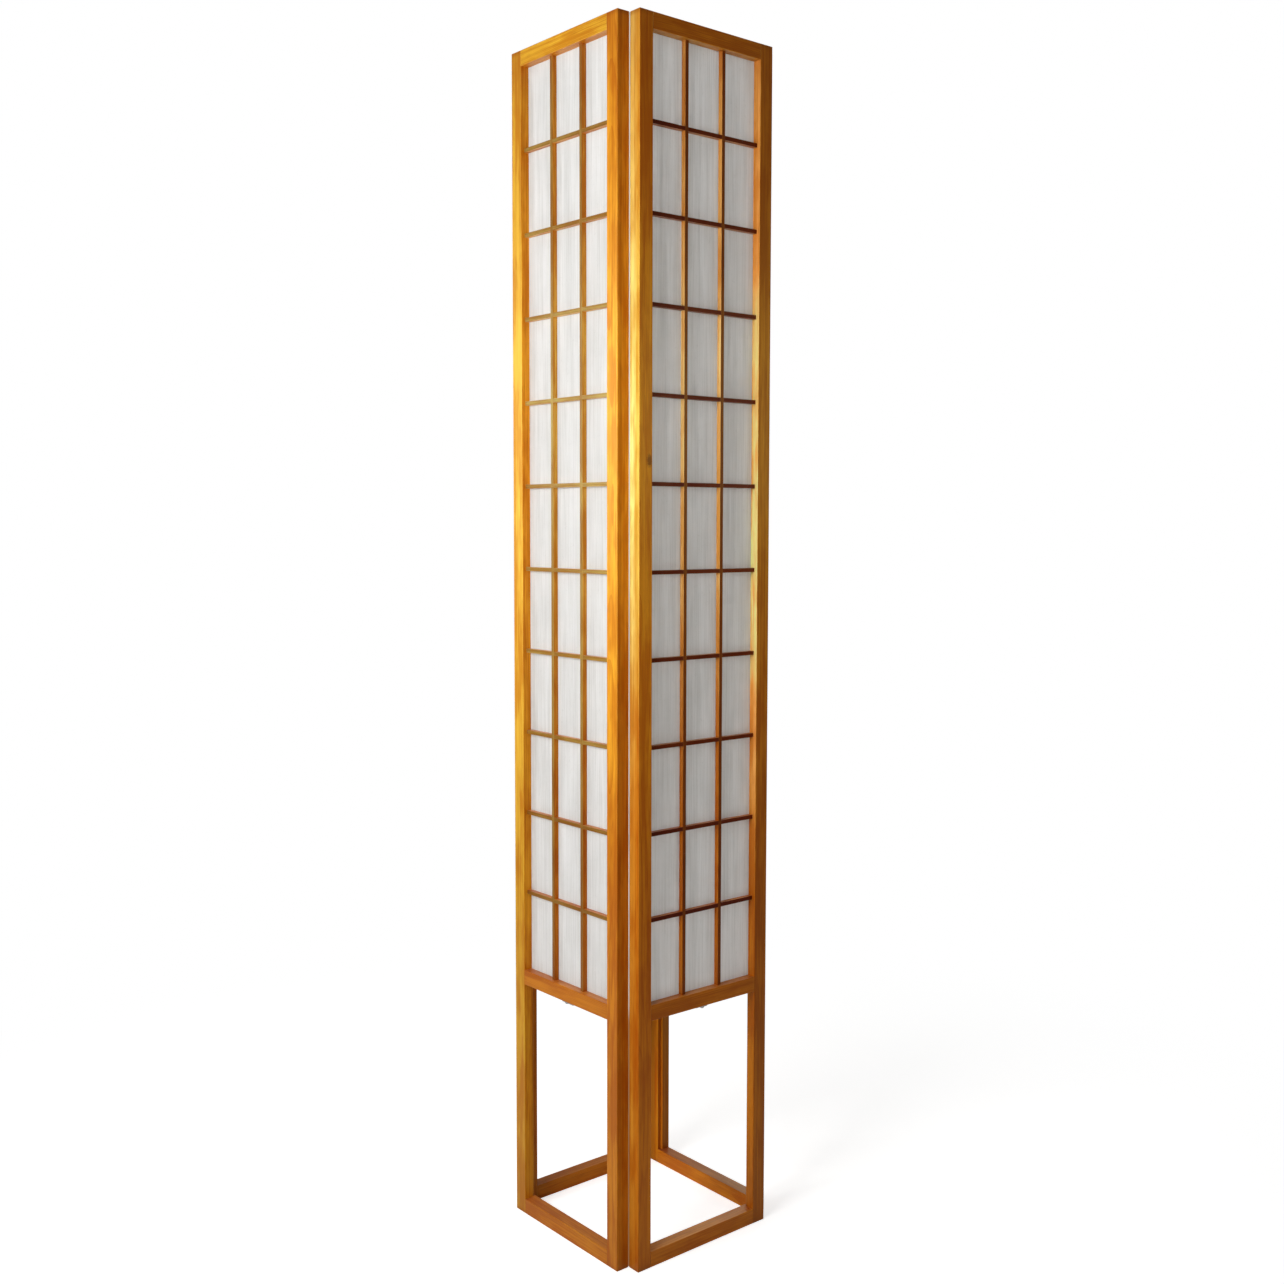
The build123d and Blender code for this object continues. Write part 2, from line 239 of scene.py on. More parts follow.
# %% [markdown]
# ## Grain
# Blond wood shows three things at once: growth rings as broad soft bands, fibres as fine streaks
# along the stick, and cloudy patches where the grain turns and takes more lacquer. A picture of
# wood would smear round the corners of a stick. Noise in three dimensions cuts through the stick as
# real grain does, so the end of a stile shows rings and its sides show streaks. A scale says how
# many ups and downs the noise has in a metre, and along the stick, the last of the three, it has
# few.

# %% Build the grain group
sway_scale = (9.0, 9.0, 2.0)
fibre_scale = (900.0, 900.0, 14.0)
streak_scale = (240.0, 240.0, 3.0)
cloud_scale = (40.0, 40.0, 9.0)
pore_scale = (2100.0, 2100.0, 60.0)
ring_sway = 30 * mm
ring_share, fibre_share, streak_share, pore_share = 0.30, 0.22, 0.40, 0.25
pore_brown = (0.16, 0.05, 0.01, 1.0)

grain_group, given, result = start_group(
    "wood_grain",
    {
        "Vector": ("Vector", None),
        "Pale Wood": ("Color", (0.90, 0.31, 0.020, 1.0)),
        "Dark Wood": ("Color", (0.60, 0.15, 0.006, 1.0)),
        "Ring Spacing": ("Float", 0.0035),
        "Figure": ("Float", 0.5),
    },
    {"Colour": "Color", "Fibre": "Float", "Height": "Float"},
)
tree = grain_group
sway = noise(tree, stretch(tree, given["Vector"], sway_scale), detail=1.0)
sway = calc(tree, "MULTIPLY", calc(tree, "SUBTRACT", sway, 0.5), ring_sway)
from_heart = length_of(tree, stretch(tree, given["Vector"], (1.0, 1.0, 0.0)))
ring = calc(tree, "DIVIDE", calc(tree, "ADD", from_heart, sway), given["Ring Spacing"])
ring = calc(tree, "POWER", calc(tree, "FRACT", ring), 3.0)
fibre = noise(tree, stretch(tree, given["Vector"], fibre_scale), detail=2.0, roughness=0.6)
streak = noise(tree, stretch(tree, given["Vector"], streak_scale), detail=3.0, roughness=0.6)
cloud = noise(tree, stretch(tree, given["Vector"], cloud_scale), detail=3.0, roughness=0.6)
pore = noise(tree, stretch(tree, given["Vector"], pore_scale), detail=1.0)
pore = remap(tree, pore, 0.62, 0.72)
depth = calc(tree, "MULTIPLY", ring, ring_share)
fibres = calc(tree, "MULTIPLY", remap(tree, fibre, 0.3, 0.7), fibre_share)
depth = calc(tree, "ADD", depth, fibres)
streaks = calc(tree, "MULTIPLY", remap(tree, streak, 0.32, 0.68), streak_share)
depth = calc(tree, "ADD", depth, streaks)
patch = calc(tree, "MULTIPLY", remap(tree, cloud, 0.35, 0.68), given["Figure"])
depth = remap(tree, calc(tree, "ADD", depth, patch), 0.10, 1.0)
colour = mix(tree, depth, given["Pale Wood"], given["Dark Wood"])
colour = mix(tree, calc(tree, "MULTIPLY", pore, pore_share), colour, pore_brown)
height = calc(tree, "SUBTRACT", fibre, pore)
wire(tree, result, {"Colour": colour, "Fibre": fibre, "Height": height})
print("wood_grain has", len(tree.nodes), "nodes")

# %% [markdown]
# ## Rubbed edges
# Hands and cloths rub lacquer thin along the arrises, so the edges of a stick are a shade paler
# than its faces. On the wood the paler edges also carry a painted highlight, strongest in the band
# round the middle of the shade. A mask for that could be painted. The Bevel node gives it without
# painting: it says how the surface would turn if its edges were rounded, and where that differs
# from the true normal there is an edge.

# %% Build the edge group
rubbed_radius = 1.8 * mm

edge_group, given, result = start_group(
    "rubbed_edges",
    {"Vector": ("Vector", None), "Amount": ("Float", 1.0)},
    {"Edge": "Float"},
)
tree = edge_group
rounded = add(tree, "Bevel", {"Radius": rubbed_radius}, samples=4).outputs["Normal"]
true_normal = add(tree, "NewGeometry").outputs["Normal"]
turn = add(tree, "VectorMath", {0: rounded, 1: true_normal}, operation="DOT_PRODUCT")
edge = remap(tree, turn.outputs["Value"], 0.99, 0.80)
uneven = remap(tree, noise(tree, given["Vector"], scale=60.0, detail=3.0), 0.3, 0.65, 0.35, 1.0)
edge = calc(tree, "MULTIPLY", calc(tree, "MULTIPLY", edge, uneven), given["Amount"], clamp=True)
wire(tree, result, {"Edge": edge})
print("rubbed_edges has", len(tree.nodes), "nodes")

# %% [markdown]
# ## Pin knots
# A small twig that the tree grew over shows as a dark red-brown dot with the grain darkened round
# it. It is a distance to one point, squeezed along the grain and broken up by noise.

# %% Build the knot group
knot_group, given, result = start_group(
    "pin_knot",
    {"Vector": ("Vector", None), "Centre": ("Vector", None), "Radius": ("Float", 0.0058)},
    {"Knot": "Float"},
)
tree = knot_group
sockets = {0: given["Vector"], 1: given["Centre"]}
apart = add(tree, "VectorMath", sockets, operation="SUBTRACT").outputs[0]
reach = length_of(tree, stretch(tree, apart, (1.0, 1.0, 0.6)))
reach = calc(tree, "DIVIDE", reach, given["Radius"])
rough_rim = noise(tree, given["Vector"], scale=500.0, detail=2.0)
rough_rim = calc(tree, "MULTIPLY", calc(tree, "SUBTRACT", rough_rim, 0.5), 0.8)
reach = calc(tree, "ADD", reach, rough_rim)
wire(tree, result, {"Knot": remap(tree, reach, 1.3, 0.4)})
print("pin_knot has", len(tree.nodes), "nodes")

# %% [markdown]
# ## Dust
# A lamp gathers dust on whatever faces up: the rails, the straps and the top of the lampholder. The
# upward part of the surface normal finds those faces, and noise breaks the layer up.

# %% Build the dust group
dust_group, given, result = start_group(
    "settled_dust",
    {"Vector": ("Vector", None), "Amount": ("Float", 0.3)},
    {"Dust": "Float"},
)
tree = dust_group
upward = part_of(tree, add(tree, "NewGeometry").outputs["Normal"], "Z")
upward = remap(tree, upward, 0.5, 1.0)
speck = noise(tree, given["Vector"], scale=420.0, detail=4.0, roughness=0.7)
speck = remap(tree, speck, 0.35, 0.7, 0.4, 1.0)
dust = calc(tree, "MULTIPLY", calc(tree, "MULTIPLY", upward, speck), given["Amount"], clamp=True)
wire(tree, result, {"Dust": dust})
print("settled_dust has", len(tree.nodes), "nodes")

# %% [markdown]
# ## A stick from a board
# Each stick is cut from another place in the board. Its own material turns the grain along the
# stick, puts the heart of the tree to one side of it and slides the pattern along, which is what
# stops a frame from looking like one moulding. A Mapping node does all three at once.

# %% Cut each stick from its own place in the board
grain_up = (0.0, 0.0, 0.0)
grain_along_x = (0.0, -math.pi / 2, 0.0)
grain_along_y = (math.pi / 2, 0.0, 0.0)
golden_angle = 2.39996
heart_distance = 60 * mm
slide_step = 0.37


def place_in_board(tree, where, low, high, grain_turn, number):
    """Turn a stick's grain upright, put the heart of the tree beside it, and slide it along.

    Returns the place in the board and how far the stick was slid."""
    turn = Matrix.Rotation(grain_turn[1], 3, "Y") @ Matrix.Rotation(grain_turn[0], 3, "X")
    angle = number * golden_angle
    heart = Vector((math.cos(angle), math.sin(angle), 0.0)) * heart_distance
    slide = slide_step * number
    shift = heart - turn @ ((low + high) / 2) + Vector((0.0, 0.0, slide))
    sockets = {"Vector": where, "Rotation": grain_turn, "Location": shift}
    return add(tree, "Mapping", sockets).outputs["Vector"], slide


print("the heart of the tree lies", round(heart_distance / mm), "mm beside each stick")

# %% [markdown]
# ## Honey lacquer
# The sticks are sprayed with a warm amber lacquer. Its colour also carries painted light: the
# wood is lighter in a band round the middle of the shade, which is a painted highlight, and darker
# in the legs and near the top, which is painted shade. Faces and sides get tones that paint the
# lit and the shaded sides of a stick, so there is one tone for faces, one for sides and one for
# sides low down, and a few boards have tones of their own. Two wood colours, multiplied by these
# tones, give all of that.
# Cut ends drink more lacquer, and each stick is a little darker towards its ends.

# %% Spray the lacquer
# The band of painted highlight round the middle of the shade, with painted shade below and above.
lit_band_low, lit_band_high = 0.42, 1.00
lit_band_end, lit_band_top = 1.25, 1.75
corner_glow_start, corner_glow_full = 148.5 * mm, 137.0 * mm


def spray(tree, colour, where, outward, tones):
    """Painted light and shade on the lacquered wood, by height and by the way a face points.

    The outward axis tells the faces of a panel from the sides of its sticks. Returns the colour and
    the band where the painted highlight lies."""
    normal = add(tree, "TexCoord").outputs["Normal"]
    facing = remap(tree, calc(tree, "ABSOLUTE", part_of(tree, normal, outward)), 0.3, 0.9)
    aside = calc(tree, "SUBTRACT", 1.0, facing)
    height = part_of(tree, where, "Z")
    # On the sides of a stick the painted highlight band starts higher up.
    band_lift = calc(tree, "MULTIPLY", aside, tones["side run"])
    lit_band = remap(tree, calc(tree, "SUBTRACT", height, band_lift), lit_band_low, lit_band_high)
    below_top = remap(tree, height, lit_band_end, lit_band_top, 1.0, 0.4)
    lit_band = calc(tree, "MULTIPLY", lit_band, below_top)
    band_shade = calc(tree, "SUBTRACT", 1.0, lit_band)
    # Painted shade: outside the band the colour is multiplied by a darker tone.
    colour = mix(tree, band_shade, colour, tones["coat"], blend="MULTIPLY")
    # Painted light and shade by the way a face points: faces, sides and sides low down get their
    # own lit and shaded tones.
    by_side = mix(tree, lit_band, tones["low side"], tones["side"])
    by_side = mix(tree, facing, by_side, tones["face"])
    colour = mix(tree, 1.0, colour, by_side, blend="MULTIPLY")
    # Painted light: deep in the corner the sides of a stick are made paler, as if lit by light
    # through the gap.
    if "corner" in tones:
        outside_in = calc(tree, "ABSOLUTE", part_of(tree, where, outward))
        painted_corner_glow = remap(tree, outside_in, corner_glow_start, corner_glow_full)
        painted_corner_glow = calc(tree, "MULTIPLY", painted_corner_glow, aside)
        corner_glow_colour = mix(tree, 1.0, colour, tones["corner"], blend="MULTIPLY")
        colour = mix(tree, painted_corner_glow, colour, corner_glow_colour)
    return colour, lit_band


print("the coat is thinnest from", lit_band_high, "to", lit_band_end, "m up")

# %% Soak the cut ends
end_soak, end_darkening = 9 * mm, 150 * mm
end_soak_share, end_darkening_share = 0.45, 0.22
soaked_brown = (0.30, 0.055, 0.003, 1.0)


def soak_ends(tree, colour, along, slide, half_length):
    """Lacquer that soaked into the cut ends of a stick, and a little darkening towards them."""
    from_middle = calc(tree, "SUBTRACT", part_of(tree, along, "Z"), slide)
    from_middle = calc(tree, "ABSOLUTE", from_middle)
    end, darkening_start = half_length - end_soak, half_length - end_darkening
    soaked = remap(tree, from_middle, end, half_length, 0.0, end_soak_share)
    darker_near_end = remap(tree, from_middle, darkening_start, half_length, 0.0, end_darkening_share)
    return mix(tree, calc(tree, "ADD", soaked, darker_near_end), colour, soaked_brown)


print("cut ends soak up lacquer over", round(end_soak / mm), "mm")

# %% [markdown]
# ## Lacquered wood
# The finish of one stick lays these over each other: the grain, the painted light and
# shade of the lacquer, a knot where the board has one, the soaked and darker ends, the pale edges,
# which are rubbed and carry a painted highlight, and the dust. Light that the lacquer mirrors
# comes back amber too, so the specular tint is amber and not white.

# %% Make the lacquered wood
pale_honey = (0.98, 0.460, 0.036)
dark_honey = (0.66, 0.200, 0.008)
pale_edge_honey = (0.95, 0.62, 0.22)
knot_brown = (0.26, 0.035, 0.004, 1.0)
wood_dust = (0.55, 0.50, 0.42, 1.0)
ring_spacing, ring_swing = 3.0 * mm, 0.8 * mm
tone_swing, tone_step = 0.05, 1.7
least_wear, edge_highlight_share = 0.10, 0.60
satin_low, satin_high = 0.30, 0.42
knots = {"right_left_stile": (0.1525, -0.1110, 1.200), "back_right_stile": (-0.118, 0.1525, 0.910)}


def tinted(colour, tone):
    """A wood colour made lighter or darker, with full alpha."""
    return (*[min(1.0, part * tone) for part in colour], 1.0)


def lacquered_wood(name, low, high, grain_turn, number, tones, outward):
    """Wood for one stick, with its own place in the board and its own tone."""
    material, tree, surface = start_material(f"wood_{name}")
    where = add(tree, "TexCoord").outputs["Object"]
    along, slide = place_in_board(tree, where, low, high, grain_turn, number)
    tone = 1.0 + tone_swing * math.sin(number * tone_step)
    cut_of_board = {
        "Vector": along,
        "Pale Wood": tinted(pale_honey, tone),
        "Dark Wood": tinted(dark_honey, tone),
        "Ring Spacing": ring_spacing + ring_swing * math.cos(number),
        "Figure": 0.55,
    }
    grain = place_group(tree, grain_group, cut_of_board)
    colour, lit_band = spray(tree, grain["Colour"], where, outward, tones)
    if name in knots:
        knot = place_group(tree, knot_group, {"Vector": where, "Centre": knots[name]})["Knot"]
        colour = mix(tree, knot, colour, knot_brown)
    colour = soak_ends(tree, colour, along, slide, max(high - low) / 2)
    # Pale edges: rubbed lacquer everywhere, and a painted highlight that grows in the lit band.
    edge_paleness = calc(tree, "ADD", least_wear, calc(tree, "MULTIPLY", lit_band, edge_highlight_share))
    edge_paleness = calc(tree, "MULTIPLY", edge_paleness, tones["wear"])
    edge = place_group(tree, edge_group, {"Vector": along, "Amount": edge_paleness})["Edge"]
    dust = place_group(tree, dust_group, {"Vector": along, "Amount": 0.04})["Dust"]
    colour = mix(tree, edge, colour, tinted(pale_edge_honey, tone))
    colour = mix(tree, dust, colour, wood_dust)
    bump = add(tree, "Bump", {"Height": grain["Height"], "Strength": 0.10, "Distance": 0.0003})
    finish = {
        "Base Color": colour,
        "Roughness": remap(tree, grain["Fibre"], 0.3, 0.7, satin_low, satin_high),
        "Normal": bump.outputs["Normal"],
        "Specular IOR Level": 0.75,
        "Specular Tint": tones["sheen"],
    }
    wire(tree, surface, finish)
    return material


print("pin knots on", list(knots))

# %% [markdown]
# ## Tones of the panels
# A tone multiplies the wood's colour, so a number above one brings out what the wood has little of.
# All sticks share one set of tones, and a panel, a lattice or a single board says only where it
# differs from that set. Joining two dictionaries with a bar does this: the right one wins. Most
# tones paint light and shade: sides that face the lamps are lighter and yellower, and faces and
# sides that turn away from them darker and redder.

# %% Name the tones of each panel and board
frame_sticks = ["left_stile", "right_stile", "top_rail", "middle_rail", "bottom_rail"]
lattice_sticks = ["upright_bars", "cross_bars"]
honey_tones = {
    "coat": (0.65, 0.45, 0.32, 1.0),
    "face": (0.97, 0.97, 0.80, 1.0),
    "side": (0.98, 0.78, 0.58, 1.0),
    "low side": (0.98, 0.92, 0.85, 1.0),
    "sheen": (1.00, 0.80, 0.06, 1.0),
    "side run": 0.20,
    "wear": 1.0,
}
# Painted shade on the side panels' faces, darker and redder, and a painted highlight on their
# sides.
side_panel_tones = honey_tones | {
    "face": (0.92, 0.69, 0.35, 1.0),
    "side": (1.00, 1.60, 3.60, 1.0),
}
# The back panel: less painted shade in the legs and near the top, more on its sides low down.
back_panel_tones = honey_tones | {
    "coat": (0.84, 0.60, 0.42, 1.0),
    "low side": (0.50, 0.34, 0.28, 1.0),
}
bar_tones = honey_tones | {"sheen": (0.40, 0.32, 0.03, 1.0), "wear": 0.25}
lattice_tones = bar_tones | {
    "face": (0.44, 0.64, 1.90, 1.0),
    "side": (0.95, 1.15, 2.50, 1.0),
    "sheen": (0.25, 0.22, 0.03, 1.0),
}
# Upright bars of the side panels: painted shade on their faces and a painted highlight on their
# sides.
side_upright_tones = bar_tones | {
    "face": (0.32, 0.17, 0.17, 1.0),
    "side": (1.25, 1.80, 9.00, 1.0),
}
# Cross bars of the side panels are made much darker all round.
side_cross_tones = bar_tones | {
    "face": (0.20, 0.065, 0.07, 1.0),
    "side": (0.30, 0.15, 0.20, 1.0),
    "sheen": (0.25, 0.10, 0.02, 1.0),
}
odd_boards = {
    "front_left_stile": honey_tones
    | {"coat": (0.75, 0.65, 0.42, 1.0), "face": (0.90, 1.12, 1.50, 1.0)},
    "front_top_rail": honey_tones
    | {"coat": (0.90, 0.95, 0.85, 1.0), "face": (1.00, 1.15, 1.10, 1.0)},
    # The right panel's near stile gets the painted light deep in the corner.
    "right_left_stile": side_panel_tones | {"corner": (1.10, 1.45, 2.80, 1.0)},
    # The right panel's far stile: a painted highlight on its lit inner side, and a darker face.
    "right_right_stile": side_panel_tones
    | {"face": (0.74, 0.53, 0.33, 1.0), "side": (1.70, 2.15, 10.5, 1.0), "side run": 0.05},
}
print("boards with tones of their own:", list(odd_boards))

# %% Pick the tones of a stick


def tones_of(name, panel, kind):
    """The tones of one stick's lacquer, by its panel and kind."""
    if name in odd_boards:
        return odd_boards[name]
    on_the_side = panel in ("right", "left")
    if kind in lattice_sticks:
        if not on_the_side:
            return lattice_tones
        return side_upright_tones if kind == "upright_bars" else side_cross_tones
    if panel == "back":
        return back_panel_tones
    return side_panel_tones if on_the_side else honey_tones


# %% Lacquer every stick
count = 0
for quarter, panel in enumerate(panels):
    outward = "YX"[quarter % 2]
    grain_across = grain_along_y if quarter % 2 else grain_along_x
    for kind in frame_sticks + lattice_sticks:
        upright = kind.endswith("stile") or kind == "upright_bars"
        grain_turn = grain_up if upright else grain_across
        name = f"{panel}_{kind}"
        tones = tones_of(name, panel, kind)
        count += 1
        give(name, lacquered_wood(name, *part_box(name), grain_turn, count, tones, outward))
print("lacquered", count, "kinds of stick")

# %% [markdown]
# ## Fibre paper
# The paper is white and matt, with laid streaks that run up the sheet and longer loose fibres that
# cross it. Streaks are noise squeezed sideways. A loose fibre is where a slow noise passes through
# its middle value, which draws a thin winding line.

# %% Build the paper group
laid_scale = (520.0, 520.0, 9.0)
band_scale = (110.0, 110.0, 3.0)
loose_scale = (150.0, 150.0, 70.0)
laid_share, band_share, cloud_share, loose_share = 0.55, 0.25, 0.20, 0.35

paper_group, given, result = start_group(
    "paper_fibres",
    {
        "Vector": ("Vector", None),
        "Sheet": ("Color", (0.95, 0.95, 0.945, 1.0)),
        "Fibre": ("Color", (0.78, 0.78, 0.765, 1.0)),
    },
    {"Colour": "Color", "Height": "Float"},
)
tree = paper_group
laid = noise(tree, stretch(tree, given["Vector"], laid_scale), detail=3.0, roughness=0.65)
band = noise(tree, stretch(tree, given["Vector"], band_scale), detail=2.0)
cloud = noise(tree, given["Vector"], scale=14.0, detail=4.0, roughness=0.6)
loose = noise(tree, stretch(tree, given["Vector"], loose_scale), detail=1.0)
loose = calc(tree, "ABSOLUTE", calc(tree, "SUBTRACT", loose, 0.5))
loose = remap(tree, loose, 0.010, 0.0)
shade = calc(tree, "MULTIPLY", remap(tree, laid, 0.35, 0.68), laid_share)
bands = calc(tree, "MULTIPLY", remap(tree, band, 0.35, 0.65), band_share)
shade = calc(tree, "ADD", shade, bands)
clouds = calc(tree, "MULTIPLY", remap(tree, cloud, 0.35, 0.70), cloud_share)
shade = calc(tree, "ADD", shade, clouds)
shade = calc(tree, "ADD", shade, calc(tree, "MULTIPLY", loose, loose_share), clamp=True)
colour = mix(tree, shade, given["Sheet"], given["Fibre"])
height = calc(tree, "ADD", laid, calc(tree, "MULTIPLY", loose, 0.6))
wire(tree, result, {"Colour": colour, "Height": height})
print("paper_fibres has", len(tree.nodes), "nodes")

# %% Make the paper, and cloth that took up lacquer
amber_on_wood = (0.80, 0.30, 0.02, 1.0)
amber_in_gap = (0.70, 0.42, 0.22, 1.0)
wood_end, gap_start = 129 * mm, 130 * mm
soak_run = 30 * mm


def take_up_amber(tree, colour, where, below):
    """The amber that cloth takes up below a height, more where it lies on the wood."""
    x, y, height = add(tree, "SeparateXYZ", {0: where}).outputs
    nearer = calc(tree, "MINIMUM", calc(tree, "ABSOLUTE", x), calc(tree, "ABSOLUTE", y))
    amber = mix(tree, remap(tree, nearer, wood_end, gap_start), amber_on_wood, amber_in_gap)
    taken_up = remap(tree, height, below, below - soak_run)
    return mix(tree, taken_up, colour, amber, blend="MULTIPLY")


def fibre_paper(name, shift, light_through, lacquered_below=None):
    """White fibre paper. The shift moves the pattern, so that no two sheets are alike."""
    material, tree, surface = start_material(name)
    where = add(tree, "TexCoord").outputs["Object"]
    moved = add(tree, "Mapping", {"Vector": where, "Location": (0.0, 0.0, shift)})
    paper = place_group(tree, paper_group, {"Vector": moved.outputs["Vector"]})
    colour = paper["Colour"]
    if lacquered_below is not None:
        colour = take_up_amber(tree, colour, where, lacquered_below)
    bump = add(tree, "Bump", {"Height": paper["Height"], "Strength": 0.25, "Distance": 0.0002})
    normal = bump.outputs["Normal"]
    roughness = remap(tree, paper["Height"], 0.2, 1.0, 0.78, 0.92)
    wire(tree, surface, {"Base Color": colour, "Roughness": roughness, "Normal": normal})
    wire(tree, surface, {"Specular IOR Level": 0.2})
    through = add(tree, "BsdfTranslucent", {"Color": colour, "Normal": normal})
    both = add(tree, "MixShader", {0: light_through, 1: surface.outputs[0], 2: through.outputs[0]})
    wire(tree, tree.nodes["Material Output"], {"Surface": both.outputs[0]})
    return material


print("cloth takes up amber over", round(soak_run / mm), "mm below the lacquer's edge")

# %% Give the sheets their paper
pattern_step = 3.1
for quarter, panel in enumerate(panels):
    name = f"{panel}_paper_sheet"
    give(name, fibre_paper(f"paper_{panel}", pattern_step * quarter, light_through=0.60))
    low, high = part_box(name)
    cut = (max((high - low).xy), high.z - low.z)
    print(name, "is cut", round(cut[0] / mm, 1), "by", round(cut[1] / mm, 1), "mm")

# %% [markdown]
# ## The cloth that closes the corners
# Light would leak through the narrow gap at each corner, so a strip of thin white cloth is glued
# inside it from the top of the lamp to its feet. In the legs it has taken up the amber of the
# lacquer. It lies on the inner face of one panel, bows out round the hinge and lies on the inner
# face of the next. It is one outline in plan, repeated up its height. Where two panels are joined
# by a hinge in the model the strip is one piece round the hinge, and it stays where it is drawn.
# At the corner that the model leaves open it is two flat halves, one on each panel, which leaves
# the room that the fold needs.

# %% Measure the corner cloth
stile_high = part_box("front_right_stile")[1]
hinge_low, hinge_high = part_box("front_hinge_pins")
middle_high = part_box("front_middle_rail")[1]
hinge_radius = (hinge_high.y - hinge_low.y) / 2
hinge_x = hinge_high.x - hinge_radius
hinge_setback = hinge_low.y + hinge_radius - stile_high.y
cloth_thickness = 0.15 * mm
cloth_clearance = 0.02 * mm
cloth_radius = hinge_setback - cloth_thickness / 2 - cloth_clearance
cloth_flap = 9.0 * mm
cloth_bow = 0.5 * mm
half_width = 10.4 * mm
cloth_foot, cloth_top_gap = 2 * mm, 1 * mm
cloth_length = cad_high.z - cloth_top_gap - cloth_foot
cloth_rows = 75
bend_steps = 12
print("hinge axis is", round(hinge_setback / mm, 2), "mm behind the panels' inner faces")

# %% Draw the cloth in plan


def whole_line(offset):
    """Plan of a whole strip, at an offset from its middle, round the hinge axis at the origin."""
    radius = cloth_radius + offset
    points = [(-cloth_flap, -radius), (-cloth_flap / 2, -radius)]
    for step in range(bend_steps + 1):
        angle = math.radians(90 * step / bend_steps - 90)
        bow = cloth_bow * math.sin(2 * angle) ** 2
        points.append(((radius + bow) * math.cos(angle), (radius + bow) * math.sin(angle)))
    return points + [(radius, cloth_flap / 2), (radius, cloth_flap)]


def first_half_line(offset):
    """Plan of the half of a split strip that lies on the first panel."""
    radius = cloth_radius + offset
    return [(-half_width, -radius), (-half_width / 2, -radius), (0.0, -radius)]


def second_half_line(offset):
    """Plan of the half of a split strip that lies on the next panel."""
    radius = cloth_radius + offset
    return [(radius, 0.0), (radius, half_width / 2), (radius, half_width)]


def line_length(line):
    """How wide the cloth is when it is laid flat."""
    path = line(0.0)
    return sum(math.dist(first, second) for first, second in zip(path, path[1:]))


lines = (whole_line, first_half_line, second_half_line)
widths = [round(line_length(line) / mm, 1) for line in lines]
print("corner cloth is", widths, "mm wide and", round(cloth_length, 3), "m long")

# %% Make the corner cloth
tape_shift = 17.0
corner_tape = fibre_paper("corner_tape", tape_shift, 0.30, lacquered_below=middle_high.z)


def corner_cloth(name, quarter, line):
    """A strip of cloth with the given plan, at the corner after the given quarter turn."""
    half = cloth_thickness / 2
    outline = line(half) + line(-half)[::-1]
    turn = Matrix.Rotation(math.pi / 2 * quarter, 3, "Z")
    vertices = []
    for row in range(cloth_rows + 1):
        z = cloth_foot + cloth_length * row / cloth_rows
        vertices += [turn @ Vector((hinge_x + x, -hinge_x + y, z)) for x, y in outline]
    size = len(outline)
    faces = [tuple(range(size))[::-1], tuple(cloth_rows * size + i for i in range(size))]
    for row in range(cloth_rows):
        for i in range(size):
            j = (i + 1) % size
            low, high = row * size, (row + 1) * size
            faces.append((low + i, low + j, high + j, high + i))
    mesh = bpy.data.meshes.new(name)
    mesh.from_pydata([tuple(v) for v in vertices], [], faces)
    mesh.validate()
    strip = bpy.data.objects.new(name, mesh)
    scene.collection.objects.link(strip)
    strip.data.materials.append(corner_tape)
    return strip


print("a strip has", cloth_rows, "rows of faces")

# %% Hang the cloth at the four corners
for quarter, panel in enumerate(panels):
    other = panels[(quarter + 1) % 4]
    turn = Matrix.Rotation(math.pi / 2 * quarter, 3, "Z")
    corner = {f"{panel}_panel", f"{other}_panel"}
    joined = any({joint["parent"], joint["child"]} == corner for joint in frame["joints"])
    if joined:
        strip = corner_cloth(f"corner_cloth_{panel}_{other}", quarter, whole_line)
        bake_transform(strip)
        cut = (line_length(whole_line), cloth_length)
    else:
        near = corner_cloth(f"corner_cloth_{panel}", quarter, first_half_line)
        far = corner_cloth(f"corner_cloth_{other}", quarter, second_half_line)
        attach(near, f"{panel}_panel")
        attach(far, f"{other}_panel")
        cut = (line_length(first_half_line), cloth_length)
        cut = (line_length(second_half_line), cloth_length)
print("corner cloth hangs at", len(panels), "corners")

# %% [markdown]
# ## Brass, plated steel and aluminium
# The hinges are soft brass that has gone dull, the straps and the stem are zinc-plated steel and
# the bulb's cap is bare aluminium. All three are metals whose polish varies from place to place, so
# one group mixes a clean and a dull colour and gives a roughness that goes with them.

# %% Build the dull metal group
scratch_scale = (4000.0, 300.0, 300.0)
cleanest, dull_share, scratch_share = 0.22, 0.25, 0.15

metal_group, given, result = start_group(
    "dull_metal",
    {
        "Vector": ("Vector", None),
        "Clean": ("Color", (0.8, 0.8, 0.8, 1.0)),
        "Dull": ("Color", (0.4, 0.4, 0.4, 1.0)),
        "Patch Scale": ("Float", 160.0),
    },
    {"Colour": "Color", "Roughness": "Float", "Height": "Float"},
)
tree = metal_group
patch = noise(tree, given["Vector"], scale=given["Patch Scale"], detail=4.0, roughness=0.65)
scratch = noise(tree, stretch(tree, given["Vector"], scratch_scale), detail=2.0)
dulled = remap(tree, patch, 0.35, 0.70)
roughness = calc(tree, "MULTIPLY", dulled, dull_share)
roughness = calc(tree, "ADD", roughness, calc(tree, "MULTIPLY", scratch, scratch_share))
roughness = calc(tree, "ADD", roughness, cleanest)
colour = mix(tree, dulled, given["Clean"], given["Dull"])
height = calc(tree, "ADD", patch, scratch)
wire(tree, result, {"Colour": colour, "Roughness": roughness, "Height": height})
print("dull_metal has", len(tree.nodes), "nodes")

# %% Give the metal parts their finish
metal_dust = (0.45, 0.42, 0.38, 1.0)


